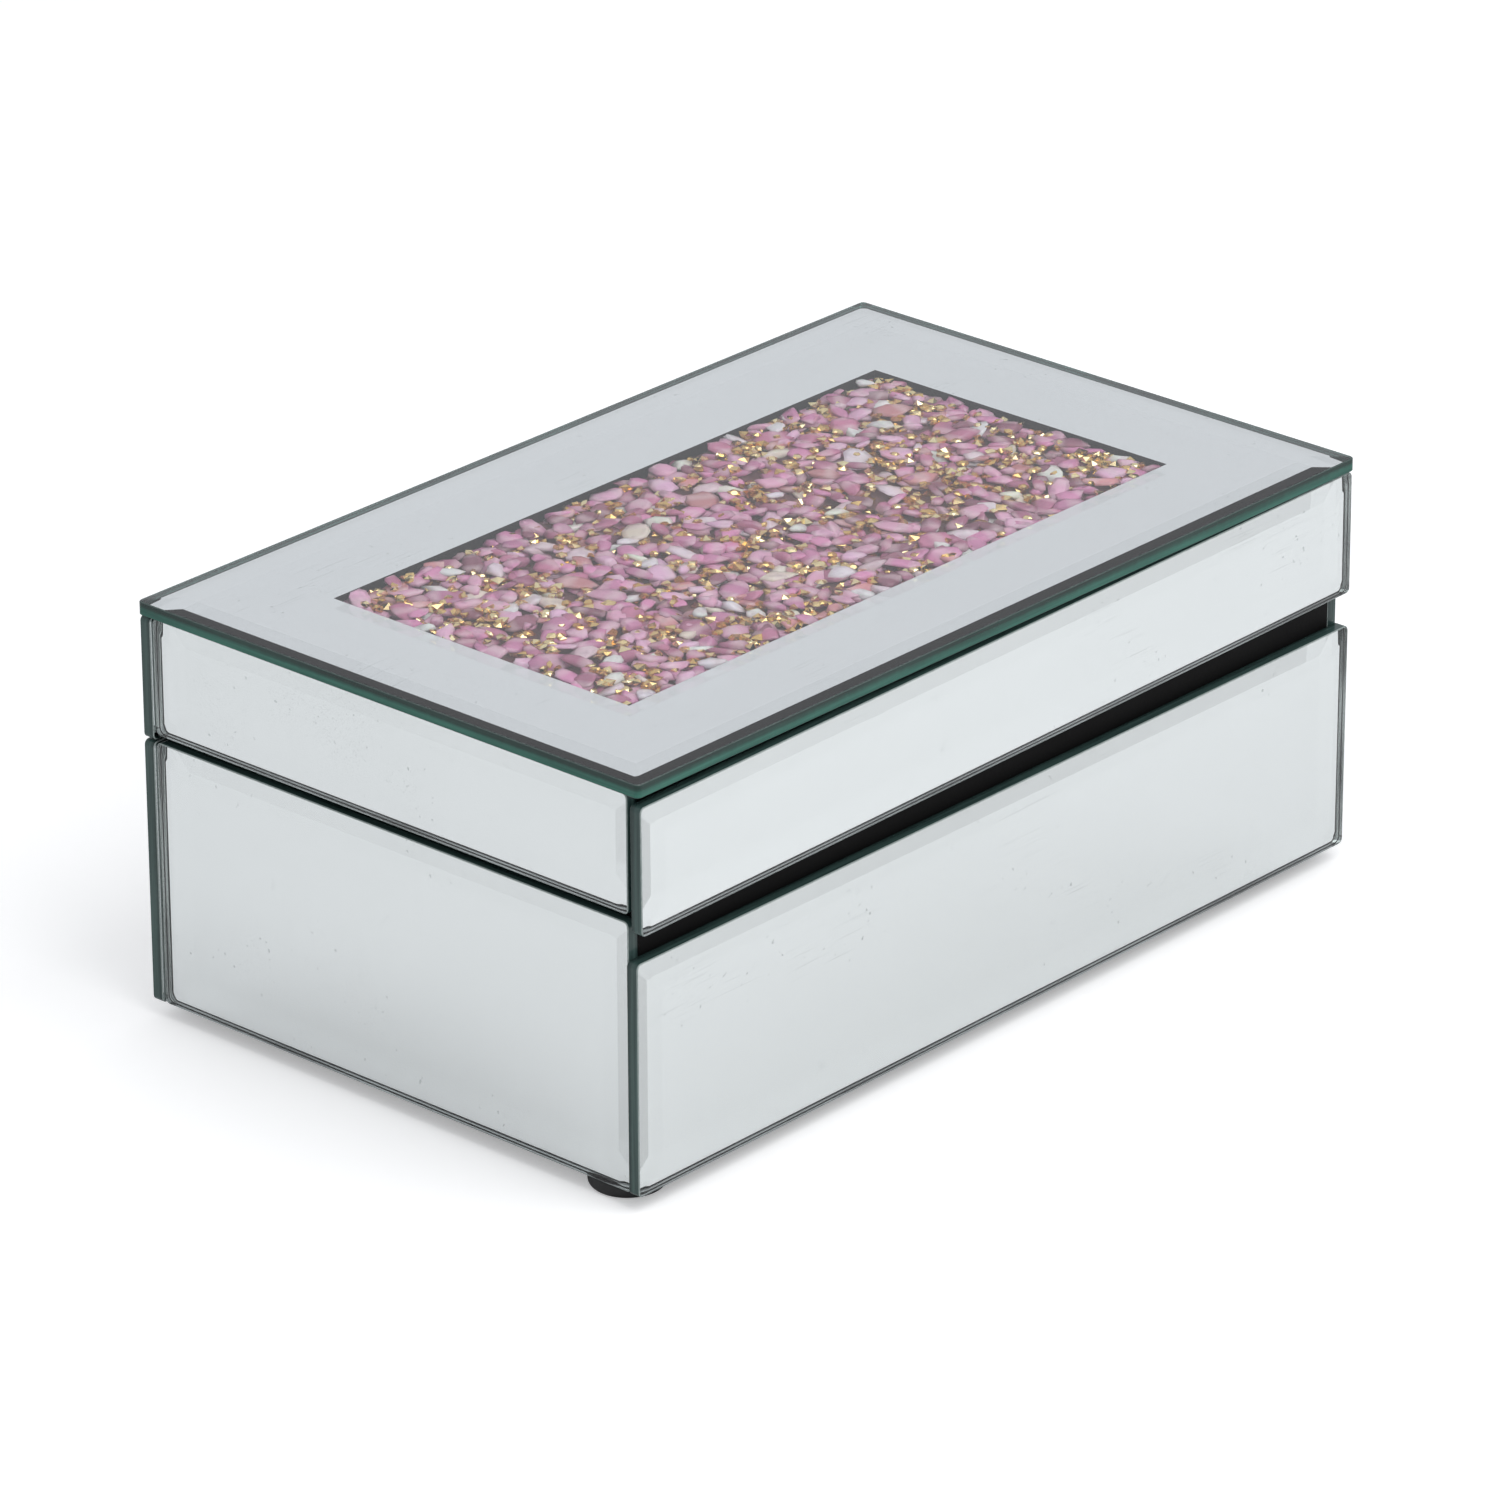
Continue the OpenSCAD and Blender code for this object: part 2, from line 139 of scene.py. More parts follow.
def new_material(name, values=()):
    """A material with only its Principled shader, whose inputs take the values. Returns the
    material, its tree and the shader."""
    made = bpy.data.materials.new(name)
    made.use_nodes = True
    shader = made.node_tree.nodes["Principled BSDF"]
    for key, value in dict(values).items():
        shader.inputs[key].default_value = value
    return made, made.node_tree, shader


def feed(tree, shader, sockets):
    """Links each output socket to the shader's input it is listed under."""
    for key, socket in sockets.items():
        tree.links.new(socket, shader.inputs[key])


def lamp(name, place, size, power, target):
    """A square area light of a size and a power, turned to face a point."""
    light = bpy.data.lights.new(name, "AREA")
    light.shape, light.size, light.energy = "SQUARE", size, power
    holder = bpy.data.objects.new(name, light)
    holder.location = place
    holder.rotation_mode = "QUATERNION"
    holder.rotation_quaternion = (Vector(target) - Vector(place)).to_track_quat("-Z", "Y")
    bpy.context.scene.collection.objects.link(holder)


soft_box_place, soft_box_target = (-0.06, -0.58, 0.92), (0, 0, 0.05)
soft_box_size, soft_box_power = 0.8, 4.7
horizon_tone = (0.705, 0.715, 0.75, 1)
zenith_tone = (0.58, 0.59, 0.60, 1)
zenith_span = (0.45, 0.9)
floor_size = 12.0
paper_glow = 0.32

world = bpy.data.worlds.new("room")
bpy.context.scene.world = world
world.use_nodes = True
room = world.node_tree
direction = add(room, "ShaderNodeTexCoord").outputs["Generated"]
height = add(room, "ShaderNodeSeparateXYZ", {0: direction}).outputs["Z"]
tone = blend(room, remap(room, height, zenith_span, smooth=True), horizon_tone, zenith_tone)
room.links.new(tone, room.nodes["Background"].inputs["Color"])

lamp("soft_box", soft_box_place, soft_box_size, soft_box_power, soft_box_target)

paper, tree, shader = new_material("paper", {
    "Base Color": (0.93, 0.93, 0.93, 1), "Roughness": 0.9, "Emission Color": (1, 1, 1, 1),
})
seen = add(tree, "ShaderNodeLightPath").outputs["Is Camera Ray"]
feed(tree, shader, {"Emission Strength": reckon(tree, "MULTIPLY", seen, paper_glow)})
half = floor_size / 2
floor = bpy.data.objects.new("floor", bpy.data.meshes.new("floor"))
floor.data.from_pydata(
    [(-half, -half, 0), (half, -half, 0), (half, half, 0), (-half, half, 0)], [], [(0, 1, 2, 3)]
)
floor.data.materials.append(paper)
bpy.context.scene.collection.objects.link(floor)


# ---- Carcass boards ----
# Fibreboard walls, floor, deck rails and tray floor, sprayed satin black before the glass is
# glued on. They show in the finger gap, in the line between the side panels and underneath.
board_names = [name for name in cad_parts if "_board_" in name or "_deck_" in name]
board_names += ["base_floor", "lid_tray_floor"]

board_paint, tree, shader = new_material("board_paint", {"Specular IOR Level": 0.12})
where = add(tree, "ShaderNodeTexCoord").outputs["Object"]
cloud = noise(tree, where, 60.0, 4.0)
fibre = noise(tree, where, 900.0, 3.0)
feed(tree, shader, {
    "Base Color": blend(tree, cloud, (0.0016, 0.0014, 0.0014, 1), (0.0042, 0.0036, 0.0036, 1)),
    "Roughness": remap(tree, cloud, to=(0.5, 0.7)),
    "Normal": bump(tree, fibre, 0.25, 0.2 * mm),
})
for name in board_names:
    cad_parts[name].material_slots[0].material = board_paint


# ---- Feet ----
# Four turned rubber feet, glued under the corners of the carcass. Each has a rounded bottom edge
# and a shallow dish in its sole, so that it grips by its rim.
def grid_faces(rows, columns):
    """The quads of a grid of points, numbered row by row, with their corners anticlockwise."""
    first = np.arange(rows - 1)[:, None] * columns + np.arange(columns - 1)
    first = first.ravel()
    return np.stack([first, first + 1, first + columns + 1, first + columns], 1)


def new_mesh(name, points, faces, materials, smooth):
    """A mesh of an array of points and a list of faces, with its materials."""
    mesh = bpy.data.meshes.new(name)
    points = np.reshape(points, (-1, 3)).tolist()
    mesh.from_pydata(points, [], [list(map(int, face)) for face in faces])
    for material in materials:
        mesh.materials.append(material)
    mesh.polygons.foreach_set("use_smooth", np.full(len(mesh.polygons), smooth))
    return mesh


def new_piece(mesh, merge=1e-7):
    """An object of a mesh, in the scene. Points closer than merge are made one, so that surfaces
    which meet themselves close up, and faces left without area are dropped."""
    work = bmesh.new()
    work.from_mesh(mesh)
    bmesh.ops.remove_doubles(work, verts=work.verts, dist=merge)
    work.to_mesh(mesh)
    work.free()
    mesh.update()
    piece = bpy.data.objects.new(mesh.name, mesh)
    bpy.context.scene.collection.objects.link(piece)
    return piece


def turned(radii, heights, steps):
    """A turned surface: the point at angle a on ring i is (r_i cos a, r_i sin a, z_i)."""
    angle = np.linspace(0, 2 * np.pi, steps + 1)
    radii, heights = np.asarray(radii, float), np.asarray(heights, float)
    x = radii[:, None] * np.cos(angle)
    y = radii[:, None] * np.sin(angle)
    z = np.repeat(heights[:, None], steps + 1, 1)
    return np.stack([x, y, z], -1).reshape(-1, 3), grid_faces(len(radii), steps + 1)


def standing(piece, node, body):
    """Makes a piece stand for a CAD node and ride on a body."""
    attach(piece, body)
    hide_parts(node)


foot_round = 1.5 * mm
foot_rim = 1.8 * mm
foot_dish = 0.5 * mm
dish_slope = 1.5 * mm
foot_top_round = 0.3 * mm

foot_rubber, tree, shader = new_material(
    "foot_rubber", {"Roughness": 0.62, "Base Color": (0.012, 0.012, 0.012, 1)}
)
where = add(tree, "ShaderNodeTexCoord").outputs["Object"]
feed(tree, shader, {"Normal": bump(tree, noise(tree, where, 1500.0, 2.0), 0.4, 0.15 * mm)})

for corner in ("front_left", "front_right", "back_left", "back_right"):
    low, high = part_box("foot_" + corner)
    radius, middle = (high.x - low.x) / 2, (low + high) / 2
    bend = np.linspace(0, np.pi / 2, 7)
    inner = radius - foot_rim
    foot_r = [0, inner - dish_slope, inner]
    foot_r += list(radius - foot_round + foot_round * np.sin(bend))
    foot_r += [radius, radius - foot_top_round, 0]
    foot_z = [foot_dish, foot_dish, 0]
    foot_z += list(foot_round - foot_round * np.cos(bend))
    foot_z += [high.z - foot_top_round, high.z, high.z]
    points, faces = turned(foot_r, foot_z, 64)
    points += (middle.x, middle.y, 0)
    mesh = new_mesh("rubber_foot_" + corner, points, faces[:, ::-1], [foot_rubber], smooth=True)
    standing(new_piece(mesh), "foot_" + corner, "base")


# ---- Mirror panels ----
# Eight pieces of float glass, ground to a wide bevel, silvered on the back and glued to the
# boards. Their polished edges show the green of the glass, and the front lid piece leans a little.
Place = namedtuple("Place", "middle across up out width height thickness")


def sheet_place(node):
    """The back face of a CAD sheet: its middle, its unit axes across, up and out, and its width,
    height and thickness. Out is the mean normal of the flat front; the corners of the back are the
    back's points furthest along the sums and differences of the axes."""
    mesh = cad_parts[node].data
    points = np.array([v.co for v in mesh.vertices], float)
    normals = np.array([p.normal for p in mesh.polygons], float)
    thin = np.ptp(points, axis=0).argmin()
    side = 1.0 if points[:, thin].mean() > (cad_box[0][thin] + cad_box[1][thin]) / 2 else -1.0
    out = normals[normals[:, thin] * side > 0.999].mean(0)
    out /= np.linalg.norm(out)
    up = np.array([0.0, 1.0, 0.0] if thin == 2 else [0.0, 0.0, 1.0])
    across = np.cross(up, out)
    depth = points @ out
    back = points[depth < depth.min() + 0.002 * mm]
    a, b = back @ across, back @ up
    corner, right, top = back[(a + b).argmin()], back[(a - b).argmax()], back[(b - a).argmax()]
    width, height = np.linalg.norm(right - corner), np.linalg.norm(top - corner)
    across, up = (right - corner) / width, (top - corner) / height
    return Place((right + top) / 2, across, up, out, width, height, np.ptp(depth))


def rounded_outline(half_w, half_h, radius, steps):
    """A rectangle's outline with round corners, anticlockwise and closed: each corner is an arc of
    the radius about a point that far in from both sides."""
    arc = np.linspace(0, np.pi / 2, steps + 1)
    points = []
    for quarter, (sx, sy) in enumerate([(1, 1), (-1, 1), (-1, -1), (1, -1)]):
        angle = arc + quarter * np.pi / 2
        x = sx * (half_w - radius) + radius * np.cos(angle)
        y = sy * (half_h - radius) + radius * np.sin(angle)
        points.append(np.stack([x, y], 1))
    points = np.concatenate(points)
    return np.concatenate([points, points[:1]])


def sheet(name, place, rings, materials, kinds, smooth=False):
    """A sheet whose section is carried round its outline. Each ring is (inset, depth, corner
    radius); ring i and ring i + 1 bound a band of material kinds[i + 1], and the first and last
    rings are closed by caps of kinds[0] and kinds[-1]. UV holds (distance round, depth)."""
    half_w, half_h = place.width / 2, place.height / 2
    flat = np.array([rounded_outline(half_w - i, half_h - i, r, 5) for i, z, r in rings])
    count, columns = flat.shape[:2]
    depth = np.repeat(np.array([z for i, z, r in rings])[:, None], columns, 1)
    points = place.middle + flat[..., :1] * place.across + flat[..., 1:] * place.up
    points = points + depth[..., None] * place.out
    faces = [list(range(columns - 2, -1, -1))]
    faces += list(grid_faces(count, columns))
    faces.append(list(range((count - 1) * columns, count * columns - 1)))
    mesh = new_mesh(name, points, faces, materials, smooth)
    faces_kinds = [kinds[0], *np.repeat(kinds[1:-1], columns - 1), kinds[-1]]
    mesh.polygons.foreach_set("material_index", np.array(faces_kinds, np.int32))
    run = np.linalg.norm(np.diff(flat[count // 2], axis=0), axis=1)
    run = np.tile(np.concatenate([[0], np.cumsum(run)]), count)
    corners = np.zeros(len(mesh.loops), np.int32)
    mesh.loops.foreach_get("vertex_index", corners)
    uv = np.stack([run[corners], depth.ravel()[corners]], 1).astype(np.float32)
    mesh.uv_layers.new(name="round_and_depth").data.foreach_set("uv", uv.ravel())
    return new_piece(mesh)


def clear_glass(name, ior=1.52):
    """Clear float glass of a refractive index, almost colourless through its thickness."""
    return new_material(name, {
        "Base Color": (0.965, 0.985, 0.978, 1), "Transmission Weight": 1.0, "IOR": ior,
        "Roughness": 0.0,
    })


float_glass = clear_glass("float_glass")[0]

# The silvering seen through the glass: a mirror with faint clouding, and on the glass over it a
# few dust specks, finger smudges and fine scratches, which read as one with it.
silvering, tree, shader = new_material("silvering", {"Metallic": 1.0})
where = add(tree, "ShaderNodeTexCoord").outputs["Object"]
cloud = noise(tree, where, 18.0, 5.0, Roughness=0.6)
silver_tone = blend(tree, cloud, (0.865, 0.885, 0.888, 1), (0.905, 0.922, 0.926, 1))
rubbed_area = noise(tree, where, 30.0, 2.0)
handled = remap(tree, rubbed_area, (0.56, 0.68), (0.0, 0.22))
unwiped = remap(tree, rubbed_area, (0.50, 0.62), (0.0, 0.5))
fallen = remap(tree, noise(tree, where, 700.0, 1.0), (0.725, 0.78))
smear = noise(tree, where, 210.0, 6.0, Roughness=0.75)
smudge = remap(tree, smear, (0.62, 0.76), (0.0, 0.14))
marks = reckon(tree, "MAXIMUM", reckon(tree, "MULTIPLY", fallen, unwiped), smudge)
for turn_of_scratch in ((0.4, 0.9, 0.5), (-0.7, -0.3, 1.1)):
    slid = stretched(tree, where, (45.0, 2600.0, 2600.0), turn_of_scratch)
    line = remap(tree, noise(tree, slid, 1.0, 0.0), (0.70, 0.78))
    marks = reckon(tree, "MAXIMUM", marks, reckon(tree, "MULTIPLY", line, handled))
feed(tree, shader, {
    "Base Color": blend(tree, marks, silver_tone, (0.42, 0.45, 0.45, 1)),
    "Roughness": remap(tree, cloud, to=(0.02, 0.05)),
})


def edge_of_glass(name, low_tones, high_tones, low, high, wall_tones):
    """The polished edge of a sheet: its green is streaked along the edge, and runs from low_tones
    at a depth in the sheet to high_tones at another. From inside the glass it is a wall of lines
    that run along the edge, in wall_tones."""
    made, tree, shader = new_material(name, {"Roughness": 0.2, "Specular IOR Level": 0.4})
    uv = add(tree, "ShaderNodeUVMap", uv_map="round_and_depth").outputs["UV"]
    depth = add(tree, "ShaderNodeSeparateXYZ", {0: uv}).outputs["Y"]
    streak = noise(tree, stretched(tree, uv, (30.0, 1100.0, 1.0)), 1.0, 4.0)
    nick = noise(tree, stretched(tree, uv, (600.0, 260.0, 1.0)), 1.0, 2.0)
    ragged = reckon(tree, "MULTIPLY_ADD", nick, ragged_by, depth)
    climb = remap(tree, ragged, (low + ragged_by / 2, high + ragged_by / 2), smooth=True)
    streaked = remap(tree, streak, (0.3, 0.7))
    low_green, high_green = (blend(tree, streaked, *tones) for tones in (low_tones, high_tones))
    green = blend(tree, climb, low_green, high_green)
    lined = blend(tree, remap(tree, streak, (0.44, 0.56)), *wall_tones)
    inside = add(tree, "ShaderNodeNewGeometry").outputs["Backfacing"]
    feed(tree, shader, {"Base Color": blend(tree, inside, green, lined), "Metallic": inside})
    return made


def arris_of_glass(name, dull, bright):
    """The narrow ground chamfer where an edge meets a face. It is frosted in a dull tone, with
    brighter flecks where it is nicked that are painted glints, but from inside the glass it is a
    dark line."""
    made, tree, shader = new_material(name)
    where = add(tree, "ShaderNodeTexCoord").outputs["Object"]
    nicks_and_glints = noise(tree, where, 1400.0, 3.0)
    inside = add(tree, "ShaderNodeNewGeometry").outputs["Backfacing"]
    # The bright tone is painted glint along the arris; the dull tone is the frosted grinding.
    frost_and_glints = blend(tree, nicks_and_glints, dull, bright)
    feed(tree, shader, {
        "Base Color": blend(tree, inside, frost_and_glints, (0.01, 0.015, 0.014, 1)),
        "Roughness": remap(tree, nicks_and_glints, to=(0.25, 0.6)),
    })
    return made


ragged_by = 0.6 * mm
panel_edge = edge_of_glass(
    "panel_edge", ((0.010, 0.024, 0.022, 1), (0.024, 0.048, 0.044, 1)),
    ((0.022, 0.045, 0.042, 1), (0.055, 0.100, 0.090, 1)), 0.3 * mm, 1.6 * mm,
    ((0.020, 0.035, 0.032, 1), (0.42, 0.46, 0.45, 1)),
)
panel_arris = arris_of_glass("panel_arris", (0.13, 0.16, 0.155, 1), (0.38, 0.44, 0.42, 1))

SILVER, EDGE, ARRIS, GLASS, UNDERSIDE = range(5)
glass_kinds = [silvering, panel_edge, panel_arris, float_glass]
bevel_width = 7.0 * mm
bevel_drop = 0.7 * mm
arris = 0.22 * mm
glass_corner = 1.3 * mm
silver_off = 0.06 * mm
notch_clear = 0.3 * mm


def panel_rings(thickness, bevel, drop):
    """The section of a bevelled panel, from the back face's arris round the edge and up the bevel
    to the flat. The bevel rises in a straight line from the edge to the flat. The silvered back
    is a film's thickness off what it is glued to."""
    edge = thickness - drop
    return [
        (arris, silver_off, glass_corner - arris),
        (0.0, silver_off + arris, glass_corner),
        (0.0, edge - arris, glass_corner),
        (arris, edge + arris * drop / bevel, glass_corner - arris),
        (bevel, thickness, 0.0),
    ]


def notch(piece, node, hinge):
    """Cuts a hinge's notch through the edge of a back panel: the leaf's box with its clearance,
    carried on past both faces of the panel."""
    low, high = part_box(hinge)
    glass_low, glass_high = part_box(node)
    middle = ((low.x + high.x) / 2, (glass_low.y + glass_high.y) / 2, (low.z + high.z) / 2)
    width, height = (high[axis] - low[axis] + 2 * notch_clear for axis in (0, 2))
    size = (width, 3 * (glass_high.y - glass_low.y), height, 1)
    cutter = bpy.data.objects.new("cutter", bpy.data.meshes.new("cutter"))
    work = bmesh.new()
    bmesh.ops.create_cube(
        work, size=1.0, matrix=Matrix.Translation(middle) @ Matrix.Diagonal(size)
    )
    work.to_mesh(cutter.data)
    work.free()
    for material in glass_kinds:
        cutter.data.materials.append(material)
    cutter.data.polygons.foreach_set("material_index", np.full(6, EDGE, np.int32))
    bpy.context.scene.collection.objects.link(cutter)
    modifier = piece.modifiers.new("notch", "BOOLEAN")
    modifier.object, modifier.operation, modifier.solver = cutter, "DIFFERENCE", "EXACT"
    whole = piece.evaluated_get(bpy.context.evaluated_depsgraph_get())
    cut = bpy.data.meshes.new_from_object(whole)
    piece.modifiers.clear()
    piece.data = cut
    bpy.data.objects.remove(cutter)


for body in ("base", "lid"):
    for side in ("front", "back", "left", "right"):
        node = f"{body}_glass_{side}"
        place = sheet_place(node)
        panel = sheet(
            f"{side}_mirror_of_{body}", place,
            panel_rings(place.thickness, bevel_width, bevel_drop), glass_kinds,
            [SILVER, ARRIS, EDGE, ARRIS, GLASS, GLASS],
        )
        if side == "back":
            for hand in ("left", "right"):
                notch(panel, node, f"hinge_{body}_leaf_{hand}")
        standing(panel, node, body)


# ---- Top plate ----
# One sheet of 4 mm bevelled glass over the whole lid. Its underside is silvered but for a clear
# window, through which the tray of chips shows.
plate_bevel = 7.5 * mm
plate_drop = 0.6 * mm
window_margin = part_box("lid_deck_left")[1].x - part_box("lid_plate")[0].x


def window_pane(name, ior):
    """Clear glass of a refractive index that lamps shine through on to the chips."""
    made, tree, shader = clear_glass(name, ior)
    lit = add(tree, "ShaderNodeLightPath").outputs["Is Shadow Ray"]
    open_air = add(tree, "ShaderNodeBsdfTransparent", {"Color": (0.93, 0.965, 0.95, 1)})
    choice = add(
        tree, "ShaderNodeMixShader", {0: lit, 1: shader.outputs[0], 2: open_air.outputs[0]}
    )
    tree.links.new(choice.outputs[0], tree.nodes["Material Output"].inputs["Surface"])
    return made


# The window's underside has a clear coating, so that it reflects and bends light less than the
# bare top does, and the chips show clearly.
window_glass = window_pane("window_glass", 1.52)
window_underside = window_pane("window_underside", 1.25)

plate_edge = edge_of_glass(
    "plate_edge", ((0.008, 0.075, 0.055, 1), (0.030, 0.150, 0.110, 1)),
    ((0.004, 0.018, 0.015, 1), (0.012, 0.045, 0.036, 1)), 1.0 * mm, 2.8 * mm,
    ((0.010, 0.045, 0.036, 1), (0.06, 0.19, 0.155, 1)),
)
plate_arris = arris_of_glass("plate_arris", (0.015, 0.03, 0.027, 1), (0.10, 0.14, 0.13, 1))
place = sheet_place("lid_plate")
plate = sheet(
    "top_plate", place,
    [(window_margin, silver_off, 0.0)] + panel_rings(place.thickness, plate_bevel, plate_drop),
    [silvering, plate_edge, plate_arris, window_glass, window_underside],
    [UNDERSIDE, SILVER, ARRIS, EDGE, ARRIS, GLASS, GLASS],
)
standing(plate, "lid_plate", "lid")


# ---- Velvet lining ----
# Black velvet over card on the walls and inside the lid, and a soft velvet pad on the floor. The
# pile is short, catches light at its edges, and is brushed a little unevenly; the lighter and
# darker streaks of the brushed pile are painted sheen in its colour.
velvet, tree, shader = new_material("velvet", {
    "Roughness": 0.95, "Specular IOR Level": 0.1, "Sheen Weight": 0.9, "Sheen Roughness": 0.3,
    "Sheen Tint": (0.60, 0.60, 0.66, 1),
})
where = add(tree, "ShaderNodeTexCoord").outputs["Object"]
strokes = stretched(tree, where, (30.0, 85.0, 85.0), (0.0, 0.0, 0.5))
brushed_sheen = remap(tree, noise(tree, strokes, 1.0, 4.0, Distortion=0.8), (0.35, 0.72))
# The streaks in the base colour are painted sheen of the pile laid different ways.
feed(tree, shader, {
    "Base Color": blend(tree, brushed_sheen, (0.004, 0.004, 0.005, 1), (0.030, 0.030, 0.036, 1)),
    "Normal": bump(tree, noise(tree, where, 2600.0, 2.0), 0.7, 0.3 * mm),
})

card_round = 0.6 * mm
card_corner = 0.3 * mm
pad_round = 1.4 * mm
pad_crown = 0.6 * mm
pad_corner, pad_under_corner = 2.5 * mm, 2.0 * mm
pad_under = 0.4 * mm
crown_flat = 4 * mm


def box_place(node, thin, side):
    """The back face of a CAD block, as sheet() takes it: thin is the axis it is thin along, and
    side is which way along that axis it faces."""
    low, high = (np.array(c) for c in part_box(node))
    out = np.zeros(3)
    out[thin] = side
    up = np.array([0.0, 1.0, 0.0] if thin == 2 else [0.0, 0.0, 1.0])
    across = np.cross(up, out)
    size = high - low
    middle = (low + high) / 2 - out * size[thin] / 2
    return Place(middle, across, up, out, abs(size @ across), abs(size @ up), size[thin])


def card_rings(thickness):
    """The section of a velvet-covered card: a square back, and a front edge rounded in an arc."""
    rings = [(0.0, 0.0, card_corner)]
    for b in np.linspace(0, np.pi / 2, 5):
        inset = card_round * (1 - math.cos(b))
        rings.append((inset, thickness - card_round * (1 - math.sin(b)), card_corner + inset))
    return rings


facings = {"front": (1, 1), "back": (1, -1), "left": (0, 1), "right": (0, -1)}
linings = [(f"{b}_lining_{s}", *facings[s]) for b in ("base", "lid") for s in facings]
linings.append(("lid_lining_top", 2, -1))
for node, thin, side in linings:
    place = box_place(node, thin, side)
    rings = card_rings(place.thickness)
    name = "velvet_" + node.replace("_lining", "")
    card = sheet(name, place, rings, [velvet], [0] * (len(rings) + 1))
    standing(card, node, node.split("_")[0])

# The pad: its edge is rounded, and its top rises in a low crown that is flat in the middle.
place = box_place("base_pad", 2, 1)
shoulder = place.thickness - pad_crown
reach = min(place.width, place.height) / 2 - crown_flat
rings = [(pad_under, 0.0, pad_under_corner)]
for b in np.linspace(-0.5, np.pi / 2, 8):
    inset = pad_round * (1 - math.cos(b))
    rings.append((inset, shoulder - pad_round * (1 - math.sin(b)), pad_corner))
for s in np.linspace(0.04, 1, 16):
    top = place.thickness - pad_crown * (1 - s) ** 3
    rings.append((pad_round + s * (reach - pad_round), top, pad_corner))
pad = sheet("velvet_pad", place, rings, [velvet], [0] * (len(rings) + 1), smooth=True)
standing(pad, "base_pad", "base")


# ---- Hinges ----
# Two small plated steel butt hinges let into the back walls, each with two leaves and a pressed
# pin, held by countersunk screws with cross recesses.
plated_steel, tree, shader = new_material("plated_steel", {"Metallic": 1.0})
where = add(tree, "ShaderNodeTexCoord").outputs["Object"]
grain = noise(tree, stretched(tree, where, (60.0, 1600.0, 1600.0)), 1.0, 4.0)
feed(tree, shader, {
    "Base Color": blend(tree, grain, (0.50, 0.48, 0.45, 1), (0.72, 0.70, 0.66, 1)),
    "Roughness": remap(tree, grain, to=(0.2, 0.42)),
    "Normal": bump(tree, grain, 0.2, 0.05 * mm),
})
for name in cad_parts:
    if name.startswith("hinge_") and "screws" not in name:
        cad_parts[name].material_slots[0].material = plated_steel

screw_head, screw_shank, screw_cone, screw_length = 1.5 * mm, 0.8 * mm, 0.6 * mm, 7.0 * mm
screw_neck, screw_taper = 0.5 * mm, 2.2 * screw_shank
recess_arm, recess_half, recess_depth = 0.95 * mm, 0.2 * mm, 0.45 * mm
thread_pitch, thread_depth = 0.7 * mm, 0.12 * mm


def screw_surface():
    """A countersunk screw pointing up +Z, its head at z = 0: rings in over the head's face, then
    the cone, the threaded shank and the point. The face is pressed in by the recess depth wherever
    a point lies inside either arm of the cross, and the recess narrows as it goes down."""
    face_r = np.linspace(0, screw_head, 11)
    turns = np.arange(screw_cone + screw_neck, screw_length - screw_taper, thread_pitch / 2)
    crest = screw_shank - thread_depth * (np.arange(len(turns)) % 2)
    point_z = [screw_length - 0.9 * screw_shank, screw_length]
    radii = np.concatenate([face_r, [screw_shank], crest, [0.5 * screw_shank, 0]])
    heights = np.concatenate([0 * face_r, [screw_cone], turns, point_z])
    points, faces = turned(radii, heights, 48)
    x, y = np.abs(points[:, 0]), np.abs(points[:, 1])
    near, far = np.minimum(x, y), np.maximum(x, y)
    arms = (near < recess_half) & (far < recess_arm) & (points[:, 2] < 1e-9)
    points[:, 2] += np.where(arms, recess_depth * (1 - 0.6 * far / recess_arm), 0)
    return points, faces


screw_points, screw_faces = screw_surface()
for body, up in (("base", -1), ("lid", 1)):
    node = f"hinge_{body}_screws"
    low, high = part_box(node)
    leaves = [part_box(f"hinge_{body}_leaf_{hand}") for hand in ("left", "right")]
    leaf_apart = leaves[1][0].x - leaves[0][0].x
    off_centre = (high.x - low.x - 2 * screw_head - leaf_apart) / 2
    points, faces = [], []
    for leaf_low, leaf_high in leaves:
        for step in (-1, 1):
            x = (leaf_low.x + leaf_high.x) / 2 + step * off_centre
            centre = (x, (low.y + high.y) / 2, high.z if up < 0 else low.z)
            faces.append(screw_faces + len(points) * len(screw_points))
            points.append(screw_points * (1, up, up) + centre)
    faces = np.concatenate(faces)[:, ::-1]
    mesh = new_mesh(f"{body}_hinge_screws", np.concatenate(points), faces, [plated_steel], False)
    standing(new_piece(mesh), node, body)


# ---- Glue and rest dots ----
# A thick bed of clear glue holds the front lid glass, and two clear silicone dots on the front
# corners of the base keep the closed lid off the board.
clear_silicone, tree, shader = new_material("clear_silicone", {
    "Roughness": 0.35, "Subsurface Weight": 0.5, "Subsurface Radius": (2 * mm, 2 * mm, 2 * mm),
})
where = add(tree, "ShaderNodeTexCoord").outputs["Object"]
bubbles = add(tree, "ShaderNodeTexVoronoi", {"Vector": where, "Scale": 700.0}).outputs["Distance"]
milky = blend(tree, bubbles, (0.72, 0.72, 0.69, 1), (0.60, 0.60, 0.57, 1))
feed(tree, shader, {"Base Color": milky})
for name in ("lid_glass_glue", "lid_rest_dots"):
    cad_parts[name].material_slots[0].material = clear_silicone


